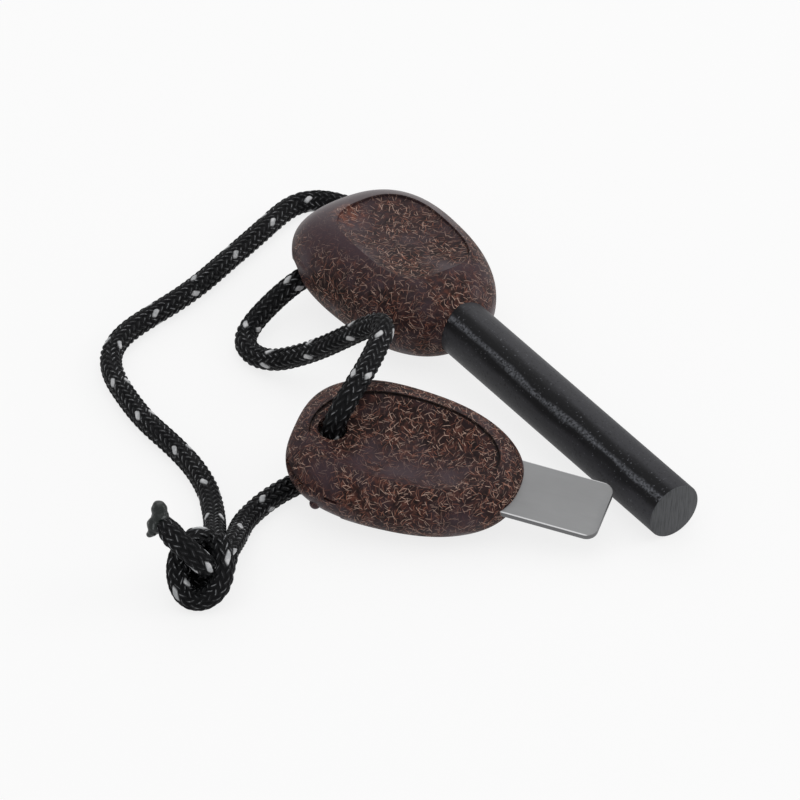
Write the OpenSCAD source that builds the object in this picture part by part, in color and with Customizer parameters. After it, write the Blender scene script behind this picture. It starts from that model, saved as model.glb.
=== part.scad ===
// Fire starter: a ferrocerium rod glued into a pebble-shaped handle, a steel scraper in a second pebble
// with a whistle in its butt, and one knotted cord that ties the two handles together.
// Millimetres, +Z up. The set lies on the plane Z = 0 and the rod points along +X as seen from above.
// The origin is on that plane, under the middle of the box round the rigid pieces.

/* [Ferro rod] */
// Diameter of the rod
rod_d = 10; // [8:0.1:11]
// Length of rod that stands out of its handle
rod_free = 58; // [45:1:80]
// Length of rod glued into the handle
rod_tang = 22; // [12:1:24]
// Diameter of the glued end, ground down to hold the glue
rod_tang_d = 9.4; // [7.6:0.05:10.5]
// Chamfer on both ends of the rod
rod_chamfer = 0.2; // [0.1:0.1:1]

/* [Pebble handles] */
// Length of the rod's handle
handle_l = 41; // [38:0.5:48]
// Width of the rod's handle
handle_w = 28.4; // [25:0.2:32]
// How much wider the butt is than the nose, as a share of the width
handle_taper = 0.1; // [0:0.02:0.16]
// Thickness that the rod's handle would have without its dish
rod_handle_t = 19; // [18:0.5:22]
// Length of the striker's handle
striker_handle_l = 40.4; // [39:0.2:44]
// Width of the striker's handle
striker_handle_w = 27.2; // [26:0.2:30]
// Thickness that the striker's handle would have without its dish
striker_handle_t = 14.5; // [14:0.5:17]

/* [Thumb dishes] */
// Length of the dish in the rod handle
rod_dish_l = 25; // [20:0.5:28]
// Width of the dish in the rod handle
rod_dish_w = 18; // [14:0.2:20]
// How far the dish lies towards the far side of the rod handle
rod_dish_side = 0.6; // [0:0.1:1]
// Height of that dish's floor above the rod's centre line
rod_dish_floor = 6.3; // [6:0.1:7]
// Length of the dish in the striker handle
striker_dish_l = 32.8; // [26:0.2:34]
// Width of the dish in the striker handle
striker_dish_w = 18; // [14:0.2:21]
// How far the dish lies behind the middle of the striker handle
striker_dish_back = 0.3; // [0:0.1:0.6]
// Height of that dish's floor above the handle's middle plane
striker_dish_floor = 2.9; // [2.4:0.1:3.8]
// Height of the crisp step just inside a dish's rim
rim_step = 0.45; // [0.2:0.05:0.8]

/* [Scraper blade] */
// Width of the blade
blade_w = 11.5; // [9:0.5:14]
// Thickness of the blade
blade_t = 1.2; // [1:0.1:2]
// Length of blade that stands out of the handle's nose
blade_free = 14.8; // [10:0.2:20]
// Length of blade held inside the handle
blade_tang = 16; // [10:0.5:18]
// Height of the blade's middle plane above the handle's
blade_rise = 0.65; // [0:0.05:0.8]
// Radius of the blade's two outer corners
blade_corner_r = 2; // [0.5:0.5:4]

/* [Whistle] */
// Length of the whistle's pocket from the butt's end
whistle_l = 13.3; // [12.6:0.1:14]
// Height of the pocket's roof above the handle's middle plane
whistle_roof = 1.9; // [1.4:0.1:2.1]
// How far the insert's skin lies inside the handle's skin
whistle_inset = 0.15; // [0.1:0.05:0.6]
// Width of the air passage
windway_w = 4.6; // [3:0.2:5]
// Height of the air passage where the air goes in
windway_h = 1.5; // [1:0.1:2]
// Height of the air slot in the flank
slot_h = 0.5; // [0.3:0.1:0.8]

/* [Cord] */
// Diameter of the braided cord
cord_d = 3.6; // [3:0.1:4]
// Diameter of the cord holes
cord_hole_d = 4.8; // [4.4:0.1:5.4]
// Distance of the rod handle's cord hole behind the handle's middle
cord_hole_back = 12.5; // [12:0.1:12.8]
// Distance of the striker's cord hole behind its handle's middle
striker_hole_back = 13; // [12.4:0.1:13.2]
// Depth of the rod handle's cord hole below the rod's centre line
cord_hole_drop = 3.5; // [3:0.1:4]
// Radius that the rod handle's cord hole widens to at its mouths
side_mouth_r = 3.2; // [2.8:0.1:3.6]
// Radius that the striker's cord hole widens to in its belly
mouth_r = 3.9; // [3:0.1:4.4]
// Radius that it widens to in its dish
dish_mouth_r = 2.5; // [2.5:0.1:3.8]
// Radius of the knot's turns, to the middle of the cord
knot_turn_r = 3.9; // [3.5:0.1:4.4]

/* [Fits] */
// Glue gap round the rod and round the blade's tang
glue_gap = 0.05; // [0.02:0.01:0.1]
// Gap round the whistle insert
insert_gap = 0.1; // [0.05:0.05:0.2]
// Gap between the handle's nose and the start of the rod's full diameter
nose_gap = 0.3; // [0.1:0.1:0.6]

/* [How the set lies] */
// Where the rod's free end is along X
rod_end_x = 49.3; // [40:0.1:60]
// Where the rod's centre line is along Y
rod_line_y = 17.4; // [16:0.1:20]
// Where the middle of the striker handle is along X
striker_x = 15.2; // [12:0.1:18]
// Where the middle of the striker handle is along Y
striker_y = -13.2; // [-16:0.1:-12]
// Turn of the striker from the rod's direction, seen from above
striker_yaw = 35.6; // [30:0.1:38]
// How far the striker's nose dips
striker_pitch = 5.3; // [3:0.1:7]
// How far the striker leans on its right-hand side
striker_roll = 15.5; // [12:0.1:18]

/* [Hidden] */
// Facets round a handle, and rings from its waist to its poles and to its dish's middle
sectors = 64;
side_rings = 9;
dish_rings = 7;
// Squareness of the outline, of the side profile and of the cross-section
outline_front_p = 2.35;
outline_rear_p = 2.6;
profile_front_p = 2.4;
profile_rear_p = 2.05;
section_p = 2.3;
// Squareness of each dish's rim, as a power: less is squarer
rod_rim_p = 0.7;
striker_rim_p = 0.9;
// How steeply a dish's bowl rises towards its rim
bowl_p = 2.4;
// Width of the sloped step inside a dish's rim
step_run = 0.12;
// Length of a hole's widened mouth, and how far cutting tools run past a skin
mouth_l = 2.6;
past = 4;
cord_r = cord_d / 2;
hole_r = cord_hole_d / 2;
// Length, width and thickness of each pebble
rod_pebble = [handle_l, handle_w, rod_handle_t];
striker_pebble = [striker_handle_l, striker_handle_w, striker_handle_t];
// Each dish: its length, width and floor, where its middle is along X and Y, and its rim's power
rod_dish = [rod_dish_l, rod_dish_w, rod_dish_floor, 0, rod_dish_side, rod_rim_p];
striker_dish = [striker_dish_l, striker_dish_w, striker_dish_floor, -striker_dish_back, 0, striker_rim_p];
rod_nose_x = handle_l / 2;
striker_nose_x = striker_handle_l / 2;
rod_reach = rod_nose_x + rod_free;
blade_low = blade_rise - blade_t / 2;
whistle_front = striker_nose_x - whistle_l;
// Air slot: wall between it and the pocket's front, its length, and the wall beside the cord hole
slot_wall = 0.6;
slot_l = 2.4;
hole_wall = 4.4;
// Length over which the air passage is at its full height, and over which it then narrows
windway_l = 2.6;
windway_taper = 5.2;
// Round pip on the insert's flank: its radius, its distance behind the middle and below the middle plane
pip_r = 1;
pip_back = 11.8;
pip_drop = 2;
$fn = 64;

// Power that keeps the sign
function signed_pow(v, e) = sign(v) * pow(abs(v), e);

// Where x lies along a pebble of size s, from -1 at the butt to 1 at the nose
function along(x, s) = max(-1, min(1, 2 * x / s[0]));

// Half width and half thickness of a pebble at x
function half_w(x, s) = let (k = along(x, s), p = k > 0 ? outline_front_p : outline_rear_p)
    s[1] / 2 * pow(1 - pow(abs(k), p), 1 / p) * (1 - handle_taper * k);
function half_t(x, s) = let (k = along(x, s), p = k > 0 ? profile_front_p : profile_rear_p)
    s[2] / 2 * pow(1 - pow(abs(k), p), 1 / p);

// Point of the plan outline at angle a
function outline(a, s) =
    let (p = cos(a) > 0 ? outline_front_p : outline_rear_p, k = signed_pow(cos(a), 2 / p))
    [s[0] / 2 * k, s[1] / 2 * (1 - handle_taper * k) * signed_pow(sin(a), 2 / p)];

// Middle of a dish, and the point at angle a of a line that runs an inset inside its rim
function dish_at(d) = [d[3], d[4]];
function rim(a, d, inset = 0) = dish_at(d) +
    [(d[0] / 2 - inset) * signed_pow(cos(a), d[5]), (d[1] / 2 - inset) * signed_pow(sin(a), d[5])];

// Height of a pebble's skin above its middle plane at x, y
function skin_z(x, y, s) = let (w = half_w(x, s))
    w <= 0 ? 0 : half_t(x, s) * pow(max(0, 1 - pow(min(1, abs(y) / w), section_p)), 1 / section_p);

// Half width of a pebble at x, at height z off its middle plane
function flank_y(x, z, s) = half_w(x, s) * pow(1 - pow(abs(z) / half_t(x, s), section_p), 1 / section_p);

function lift(xy, z) = [xy[0], xy[1], z];

// Rings of the belly, from near the lower pole up to the waist
function belly_rings(s) = [for (i = [1:side_rings]) let (k = sin(90 * i / side_rings))
    [for (j = [0:sectors - 1]) let (q = k * outline(360 * j / sectors, s)) lift(q, -skin_z(q[0], q[1], s))]];

// Rings of the back, from above the waist up to the dish's rim
function back_rings(s, d) = [for (i = [1:side_rings]) let (g = 1 - cos(90 * i / side_rings))
    [for (j = [0:sectors - 1]) let (a = 360 * j / sectors, q = (1 - g) * outline(a, s) + g * rim(a, d))
        lift(q, skin_z(q[0], q[1], s))]];

// Rings of the dish, from the foot of its step in to near its middle
function bowl_rings(s, d) = [for (i = [0:dish_rings - 1]) let (c = 1 - i / dish_rings)
    [for (j = [0:sectors - 1])
        let (a = 360 * j / sectors, r = rim(a, d), q = (1 - c) * dish_at(d) + c * rim(a, d, step_run),
            foot_z = skin_z(r[0], r[1], s) - rim_step)
        lift(q, d[2] + (foot_z - d[2]) * pow(c, bowl_p))]];

// Solid through closed rings of equal count, with a point at each pole
module lofted(rings, low, high) {
    n = len(rings[0]);
    m = len(rings);
    points = concat([low], [for (r = rings) each r], [high]);
    last = len(points) - 1;
    faces = concat(
        [for (j = [0:n - 1]) [0, 1 + j, 1 + (j + 1) % n]],
        [for (i = [0:m - 2], j = [0:n - 1]) let (a = 1 + i * n + j, b = 1 + i * n + (j + 1) % n) [a, a + n, b]],
        [for (i = [0:m - 2], j = [0:n - 1]) let (a = 1 + i * n + j, b = 1 + i * n + (j + 1) % n) [b, a + n, b + n]],
        [for (j = [0:n - 1]) [last, last - n + (j + 1) % n, last - n + j]]);
    polyhedron(points, faces);
}

// Pebble of size s with a thumb dish d in its back
module pebble(s, d) {
    lofted(concat(belly_rings(s), back_rings(s, d), bowl_rings(s, d)), [0, 0, -s[2] / 2], lift(dish_at(d), d[2]));
}

// Depth of a pebble's lowest point below its middle when it is pitched and leaned
function belly_depth(s, pitch, roll) = -min([for (r = belly_rings(s), q = r)
    cos(pitch) * (q[1] * sin(roll) + q[2] * cos(roll)) - sin(pitch) * q[0]]);

// Dip of the rod that puts its free end and its handle's belly on the same plane
function settle(dip, turns) = turns == 0 ? dip :
    settle(asin((belly_depth(rod_pebble, dip, 0) - rod_d / 2 * cos(dip)) / rod_reach), turns - 1);

rod_dip = settle(3, 4);
rod_handle_x = rod_end_x - rod_reach * cos(rod_dip) - rod_d / 2 * sin(rod_dip);
rod_handle_z = belly_depth(rod_pebble, rod_dip, 0);
striker_z = belly_depth(striker_pebble, striker_pitch, striker_roll);

module in_rod_frame() {
    translate([rod_handle_x, rod_line_y, rod_handle_z]) rotate([0, rod_dip, 0]) children();
}

module in_striker_frame() {
    translate([striker_x, striker_y, striker_z]) rotate([striker_roll, striker_pitch, striker_yaw]) children();
}

// Cord hole along Z through the origin, whose mouths widen to low_r and high_r at the skins at low and high
module cord_hole(low, high, low_r, high_r) {
    rotate_extrude() polygon([[0, low - past], [low_r, low - past], [low_r, low], [hole_r, low + mouth_l],
        [hole_r, high - mouth_l], [high_r, high], [high_r, high + past], [0, high + past]]);
}

module rod_handle() {
    mouth_y = flank_y(-cord_hole_back, cord_hole_drop, rod_pebble);
    color([0.24, 0.13, 0.11]) in_rod_frame() difference() {
        pebble(rod_pebble, rod_dish);
        translate([rod_nose_x - rod_tang - glue_gap, 0, 0]) rotate([0, 90, 0])
            cylinder(d = rod_tang_d + 2 * glue_gap, h = rod_tang + past);
        translate([-cord_hole_back, 0, -cord_hole_drop]) rotate([90, 0, 0])
            cord_hole(-mouth_y, mouth_y, side_mouth_r, side_mouth_r);
    }
}

module ferro_rod() {
    rod_l = rod_tang + rod_free;
    step_l = rod_tang + nose_gap;
    tang_r = rod_tang_d / 2;
    color([0.17, 0.17, 0.18]) in_rod_frame() translate([rod_nose_x - rod_tang, 0, 0]) rotate([0, 90, 0])
        rotate_extrude() polygon([[0, 0], [tang_r - rod_chamfer, 0], [tang_r, rod_chamfer], [tang_r, step_l],
            [rod_d / 2, step_l], [rod_d / 2, rod_l - rod_chamfer], [rod_d / 2 - rod_chamfer, rod_l], [0, rod_l]]);
}

// Height of the striker's dish where the cord hole comes up through it
function dish_z_at_hole() = let (c = (striker_hole_back - striker_dish_back) / (striker_dish_l / 2),
        foot = skin_z(-striker_dish_back - striker_dish_l / 2, 0, striker_pebble) - rim_step)
    striker_dish_floor + (foot - striker_dish_floor) * pow(c, bowl_p);

module striker_cord_hole() {
    translate([-striker_hole_back, 0, 0])
        cord_hole(-skin_z(-striker_hole_back, 0, striker_pebble), dish_z_at_hole(), mouth_r, dish_mouth_r);
}

// Block that takes in the butt up to the pocket's roof and front, less a gap
module butt_block(gap) {
    translate([-striker_nose_x - past, -striker_handle_w, whistle_roof - gap - striker_handle_w])
        cube([striker_nose_x + past - whistle_front - gap, 2 * striker_handle_w, striker_handle_w]);
}

module striker_handle() {
    color([0.27, 0.14, 0.11]) in_striker_frame() difference() {
        pebble(striker_pebble, striker_dish);
        striker_cord_hole();
        translate([striker_nose_x - blade_tang - glue_gap, -blade_w / 2 - glue_gap, blade_low - glue_gap])
            cube([blade_tang + past, blade_w + 2 * glue_gap, blade_t + 2 * glue_gap]);
        butt_block(0);
    }
}

module striker_blade() {
    blade_l = blade_tang + blade_free;
    color([0.55, 0.55, 0.56]) in_striker_frame() translate([striker_nose_x - blade_tang, 0, blade_low])
        linear_extrude(blade_t) union() {
            translate([0, -blade_w / 2]) square([blade_l - blade_corner_r, blade_w]);
            translate([0, blade_corner_r - blade_w / 2]) square([blade_l, blade_w - 2 * blade_corner_r]);
            for (side = [-1, 1]) translate([blade_l - blade_corner_r, side * (blade_w / 2 - blade_corner_r)])
                circle(r = blade_corner_r);
        }
}

// Side view of the air passage, from the butt's end to the slot
module windway_profile(top) {
    rear = -striker_nose_x - past;
    full = -striker_nose_x + windway_l;
    front = -whistle_front - slot_wall;
    polygon([[rear, top + 1], [rear, top - windway_h], [full, top - windway_h], [full + windway_taper, top - slot_h],
        [front, top - slot_h], [front, top + 1]]);
}

// Butt plug that closes the whistle's pocket: air goes in at its rear corner and out at the slot in its flank
module whistle_insert() {
    shrink = 1 - 2 * whistle_inset / striker_handle_w;
    top = whistle_roof - insert_gap;
    inner_y = -hole_r - hole_wall;
    slot_y = -flank_y(-whistle_front - slot_wall, whistle_roof, striker_pebble) - 1;
    pip_y = pip_r / 2 - flank_y(-pip_back, pip_drop, striker_pebble);
    color([0.22, 0.12, 0.1]) in_striker_frame() difference() {
        intersection() {
            union() {
                scale(shrink) pebble(striker_pebble, striker_dish);
                translate([-pip_back, pip_y, -pip_drop]) sphere(r = pip_r);
            }
            butt_block(insert_gap);
        }
        striker_cord_hole();
        translate([0, inner_y, 0]) rotate([90, 0, 0]) linear_extrude(windway_w) windway_profile(top);
        translate([-whistle_front - slot_wall - slot_l, slot_y, top - slot_h])
            cube([slot_l, inner_y - slot_y, slot_h + 1]);
    }
}

// Route of the cord, one list for each stretch. Points lie on the middle of the cord.
long_run = [[-41.6, 17.5, 6.7], [-41.6, 23, 6.7], [-41.6, 28.5, 6.7], [-42.6, 31.5, 5.8], [-46, 33.2, 4],
    [-50.8, 32.5, 2.5], [-56.2, 30.3, 1.9], [-61.2, 28.4, 1.9], [-65, 26.1, 1.9], [-66.7, 22.6, 1.9],
    [-66, 18.6, 1.9], [-63.6, 12.8, 1.9], [-61, 6.5, 1.9], [-58.4, 0, 1.9], [-56, -6, 1.9],
    [-54, -12.5, 1.9], [-52.6, -19, 1.9], [-50.8, -25.6, 1.9], [-47.2, -31, 1.9], [-41.5, -34.2, 1.9],
    [-34.5, -36, 1.9], [-27, -37.2, 1.9], [-18.9, -37.4, 1.9], [-11.3, -38.1, 1.9], [-4.8, -39.8, 2],
    [0.6, -42.4, 2.4], [5.2, -45.1, 3.2], [9.1, -47.8, 4.8], [12.6, -50, 6], [15.9, -51.4, 6.6]];
front_loop = [[-41.6, 17.3, 6.7], [-41.6, 11.5, 6.7], [-41.6, 6, 6.5], [-41.3, 1.6, 5.4],
    [-40.8, -2.8, 3.7], [-39.5, -7.1, 2.3], [-36.5, -10.5, 1.9], [-32.1, -11.3, 2], [-27.7, -10.2, 3.2],
    [-23.2, -8.4, 6], [-18.3, -6.7, 9.8], [-13.4, -5.2, 14.2], [-9.2, -4, 18], [-6.1, -3.3, 20.6],
    [-3, -4.4, 21.6], [-0.3, -7.9, 20.8], [2.8, -12.3, 20.1], [5.1, -16.4, 19.2], [6.3, -19.4, 17.6],
    [6.2, -21.2, 15], [5.4, -21.3, 12.6], [4.8, -20.8, 10]];
knot_leg = [[4.7, -20.7, 9.7], [4.1, -20.4, 7.2], [3.5, -21, 4.5], [2.9, -22.3, 2.3], [2.6, -25.2, 1.9],
    [2.7, -28.8, 1.9], [3.4, -32.8, 1.9], [4.6, -36.4, 1.9], [6.1, -39.8, 2.1], [9.1, -42.8, 3.2],
    [12.2, -45.8, 4.6], [15, -48.6, 6], [17.4, -51.4, 6.6]];
// Middle of the knot, and how far its main turn leans back and faces to one side
knot_at = [17.6, -56.8, 5.1];
knot_lean = 54.5;
knot_side = -35.7;
// The knot's crossing strand in the main turn's own frame, where X runs down the turn and Z out of its front
knot_strand = [[-5, 3.4, -1], [-3.8, 3.7, 1.2], [-1.6, 3.6, 3], [1.2, 2.9, 3.2], [3.2, 1.2, 2.4], [3.6, -1, 0.6]];
// The cut end of the cord, from the knot's front over its top
tail = [[16.2, -55.3, 8.6], [13, -54.6, 9.2], [9.2, -54.2, 8.6], [5.4, -54, 7.4], [2.4, -53.6, 6.2]];

function unit(v) = v / norm(v);

// Direction of a route at point i
function heading(p, i) = unit(p[min(i + 1, len(p) - 1)] - p[max(i - 1, 0)]);

// Side directions of a route, carried from ring to ring without twist
function sides(p, i, s) = i >= len(p) ? [] :
    let (t = heading(p, i), n = unit(s - (s * t) * t)) concat([n], sides(p, i + 1, n));

// Round tube through the points p, with flat ends
module tube(p, start_side) {
    n = 8;
    s = sides(p, 0, start_side);
    points = [for (i = [0:len(p) - 1], j = [0:n - 1])
        let (b = cross(heading(p, i), s[i]), a = 360 * (j + 0.5) / n) p[i] + cord_r * (cos(a) * s[i] + sin(a) * b)];
    faces = concat([[for (j = [0:n - 1]) n - 1 - j]],
        [for (i = [0:len(p) - 2], j = [0:n - 1]) let (a = i * n + j, b = i * n + (j + 1) % n) [a, b, b + n]],
        [for (i = [0:len(p) - 2], j = [0:n - 1]) let (a = i * n + j, b = i * n + (j + 1) % n) [a, b + n, a + n]],
        [[for (j = [0:n - 1]) (len(p) - 1) * n + j]]);
    polyhedron(points, [for (f = faces) [for (k = [len(f) - 1:-1:0]) f[k]]]);
}

module cord_long_run() {
    color([0.08, 0.08, 0.09]) tube(long_run, [0, 0, 1]);
}

module cord_front_loop() {
    color([0.08, 0.08, 0.09]) tube(front_loop, [0, 0, 1]);
}

module cord_knot_leg() {
    color([0.08, 0.08, 0.09]) tube(knot_leg, [1, 0, 0]);
}

// Overhand knot: the main turn as a ring, and the strand that crosses its front
module cord_knot() {
    color([0.08, 0.08, 0.09]) translate(knot_at) rotate([0, knot_lean, knot_side]) {
        rotate_extrude() translate([knot_turn_r, 0]) circle(r = cord_r);
        tube(knot_strand, [0, 1, 0]);
    }
}

module cord_tail() {
    color([0.08, 0.08, 0.09]) tube(tail, [0, 0, 1]);
}

rod_handle();
ferro_rod();
striker_handle();
striker_blade();
whistle_insert();
cord_long_run();
cord_front_loop();
cord_knot_leg();
cord_knot();
cord_tail();
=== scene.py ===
"""Fire-starting set: a rod and a scraper in two pebble handles, tied together by a knotted reflective braid."""

import logging
import math
from collections.abc import Callable
from dataclasses import dataclass
from enum import Enum

import bmesh
import bpy
import numpy as np
from mathutils import Euler, Matrix, Vector, noise


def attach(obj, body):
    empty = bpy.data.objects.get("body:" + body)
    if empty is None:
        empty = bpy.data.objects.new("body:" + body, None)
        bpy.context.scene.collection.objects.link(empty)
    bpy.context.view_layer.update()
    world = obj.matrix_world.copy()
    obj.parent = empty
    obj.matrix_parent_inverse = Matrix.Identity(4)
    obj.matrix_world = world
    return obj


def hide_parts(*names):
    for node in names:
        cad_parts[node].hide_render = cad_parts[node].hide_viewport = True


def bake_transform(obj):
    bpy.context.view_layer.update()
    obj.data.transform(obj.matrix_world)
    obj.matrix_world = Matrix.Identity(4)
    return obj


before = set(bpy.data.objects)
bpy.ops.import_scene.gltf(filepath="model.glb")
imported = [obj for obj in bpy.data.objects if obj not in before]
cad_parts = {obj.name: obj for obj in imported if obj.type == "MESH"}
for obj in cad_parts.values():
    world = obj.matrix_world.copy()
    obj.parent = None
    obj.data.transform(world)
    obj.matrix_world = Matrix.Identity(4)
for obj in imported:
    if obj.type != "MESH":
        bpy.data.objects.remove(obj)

log = logging.getLogger("fire_starter")
MM = 0.001
ROD_BODY = "rod_and_handle"
CORD_BODY = "cord"
STRIKER_BODY = "striker"
Colour = tuple[float, float, float, float]
Step = tuple[float, float]


class Axis(Enum):
    """The direction of a hole through a handle, as the turn of its drill."""

    ACROSS = (math.pi / 2, 0.0, 0.0)
    UPRIGHT = (0.0, 0.0, 0.0)


@dataclass(frozen=True)
class Pattern:
    """A noise pattern: its cycles in a metre, its finer layers, its seed, and the values it is stepped between."""

    scale: float
    detail: float
    seed: float
    step: Step = (0.0, 1.0)


@dataclass(frozen=True)
class Dish:
    """A thumb dish's length, width, middle and rim power in its handle's own frame, in millimetres."""

    length: float
    width: float
    x: float
    y: float
    power: float


def deselect() -> None:
    """Leave nothing selected."""
    for thing in bpy.context.selected_objects:
        thing.select_set(False)


def fresh(add: Callable, name: str = "tool", **settings: object) -> bpy.types.Object:
    """Add a new piece with nothing else selected.

    Args:
        add: The operator that adds it.
        name: The piece's name.
        **settings: The operator's settings.

    Returns:
        The new piece.
    """
    deselect()
    add(**settings)
    piece = bpy.context.active_object
    piece.name = name
    return piece


def activate(piece: bpy.types.Object) -> None:
    """Select one piece alone and make it active.

    Args:
        piece: The object that the next operator works on.
    """
    deselect()
    piece.select_set(True)
    bpy.context.view_layer.objects.active = piece


def apply_modifier(piece: bpy.types.Object, kind: str, **settings: object) -> None:
    """Add a modifier with its settings, and apply it.

    Args:
        piece: The object to change.
        kind: Blender's name for the kind of modifier.
        **settings: The modifier's attributes.
    """
    activate(piece)
    modifier = piece.modifiers.new(kind.lower(), kind)
    for key, value in settings.items():
        setattr(modifier, key, value)
    bpy.ops.object.modifier_apply(modifier=modifier.name)


def smooth(piece: bpy.types.Object, degrees: float) -> None:
    """Shade smooth up to an angle between faces.

    Args:
        piece: The object to shade.
        degrees: The angle past which an edge stays sharp.
    """
    activate(piece)
    bpy.ops.object.shade_smooth_by_angle(angle=math.radians(degrees))


def place(piece: bpy.types.Object, matrix: Matrix) -> None:
    """Put a piece's mesh at its place and leave its object at the origin.

    Args:
        piece: The object to place.
        matrix: From the piece's own frame to the row frame.
    """
    bpy.context.view_layer.update()
    piece.data.transform(matrix @ piece.matrix_world)
    piece.matrix_world = Matrix.Identity(4)


def paint(piece: bpy.types.Object, material: bpy.types.Material) -> None:
    """Give a piece one material.

    Args:
        piece: The object to dress.
        material: Its finish.
    """
    piece.data.materials.clear()
    piece.data.materials.append(material)


def dress(piece: bpy.types.Object, body: str, node: str) -> None:
    """Put a finished piece on its body in place of its CAD node.

    Args:
        piece: The new piece.
        body: The body that it rides on.
        node: The node that it replaces.
    """
    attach(piece, body)
    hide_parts(node)
    log.info("%s: %d faces", piece.name, len(piece.data.polygons))


class Nodes:
    """A small helper that writes a material's node tree."""

    def __init__(self, name: str) -> None:
        """Start a material with one Principled shader.

        Args:
            name: The material's name.
        """
        self.material = bpy.data.materials.new(name)
        self.material.use_nodes = True
        self.tree = self.material.node_tree
        self.shader = self.tree.nodes["Principled BSDF"]

    def add(self, kind: str, **inputs: object) -> bpy.types.Node:
        """Add a node. A node or socket among the inputs is linked, and a plain value is set.

        Args:
            kind: The node's type, without its ShaderNode prefix.
            **inputs: Sockets by index, as _0, or attributes by name.

        Returns:
            The new node.
        """
        node = self.tree.nodes.new("ShaderNode" + kind)
        for key, value in inputs.items():
            if not key.startswith("_"):
                setattr(node, key, value)
        for key, value in inputs.items():
            if key.startswith("_"):
                index = int(key[1:])
                if isinstance(value, bpy.types.NodeSocket):
                    self.tree.links.new(value, node.inputs[index])
                else:
                    node.inputs[index].default_value = value
        return node

    def own_frame(self, into: Matrix) -> tuple[bpy.types.Node, bpy.types.NodeSocket]:
        """Coordinates in a piece's own frame.

        Args:
            into: From the row frame to the piece's own.

        Returns:
            The coordinates' node, and the socket of the piece's own coordinates.
        """
        where = self.add("TexCoord")
        turn = tuple(into.to_euler())
        moved = self.add("Mapping", _0=where.outputs["Object"], _1=tuple(into.translation), _2=turn)
        return where, moved.outputs[0]

    def math(self, operation: str, *values: object, clamp: bool = False) -> bpy.types.NodeSocket:
        """A Math node's output.

        Args:
            operation: The operation's name.
            *values: Numbers or sockets.
            clamp: Whether the result stays within 0 and 1.

        Returns:
            The result's socket.
        """
        inputs = {f"_{i}": v for i, v in enumerate(values)}
        return self.add("Math", operation=operation, use_clamp=clamp, **inputs).outputs[0]

    def times(self, *values: object) -> bpy.types.NodeSocket:
        """The product of two or more values, taken from the left.

        Args:
            *values: Numbers or sockets.

        Returns:
            The product's socket.
        """
        product = values[0]
        for value in values[1:]:
            product = self.math("MULTIPLY", product, value)
        return product

    def vector(self, operation: str, *values: object) -> bpy.types.Node:
        """A Vector Math node.

        Args:
            operation: The operation's name.
            *values: Vectors or sockets.

        Returns:
            The node, whose output 0 is a vector and 1 a number.
        """
        inputs = {f"_{i}": v for i, v in enumerate(values)}
        return self.add("VectorMath", operation=operation, **inputs)

    def between(self, value: object, low: float, high: float) -> bpy.types.NodeSocket:
        """A smooth step from 0 at low to 1 at high.

        Args:
            value: The socket to read.
            low: Where the result is 0.
            high: Where the result is 1.

        Returns:
            The result's socket.
        """
        node = self.add("MapRange", interpolation_type="SMOOTHSTEP", _0=value, _1=low, _2=high, _3=0.0, _4=1.0)
        return node.outputs[0]

    def mix(self, factor: object, first: object, second: object) -> bpy.types.NodeSocket:
        """A colour between two colours.

        Args:
            factor: The share of the second colour.
            first: The colour at 0.
            second: The colour at 1.

        Returns:
            The colour's socket.
        """
        node = self.add("Mix", data_type="RGBA", _0=factor, _6=first, _7=second)
        return node.outputs[2]

    def noise(self, place_at: object, look: Pattern, seed: float = 0.0) -> bpy.types.NodeSocket:
        """Noise from 0 to 1.

        Args:
            place_at: The coordinates' socket.
            look: The pattern's numbers.
            seed: What is added to the pattern's seed.

        Returns:
            The noise's socket.
        """
        return self.add("TexNoise", noise_dimensions="4D", _0=place_at, _1=look.seed + seed, _2=look.scale,
                        _3=look.detail).outputs[0]

    def pattern(self, place_at: object, look: Pattern, seed: float = 0.0) -> bpy.types.NodeSocket:
        """A pattern's noise, stepped between its two values.

        Args:
            place_at: The coordinates' socket.
            look: The pattern's numbers.
            seed: What is added to the pattern's seed.

        Returns:
            The mask's socket.
        """
        return self.between(self.noise(place_at, look, seed), *look.step)

    def finish(self, colour: object, roughness: object, height: object, depth: float,
               gloss: float) -> bpy.types.Material:
        """Link colour, roughness and bump to the shader.

        Args:
            colour: The base colour's socket.
            roughness: The roughness socket.
            height: The bump's height socket.
            depth: The bump's depth in metres.
            gloss: The strength of its gloss, where 0.5 is plain.

        Returns:
            The finished material.
        """
        self.shader.inputs["Specular IOR Level"].default_value = gloss
        bump = self.add("Bump", _0=1.0, _1=depth)
        self.tree.links.new(height, bump.inputs["Height"])
        self.tree.links.new(bump.outputs[0], self.shader.inputs["Normal"])
        self.tree.links.new(colour, self.shader.inputs["Base Color"])
        self.tree.links.new(roughness, self.shader.inputs["Roughness"])
        return self.material


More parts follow.
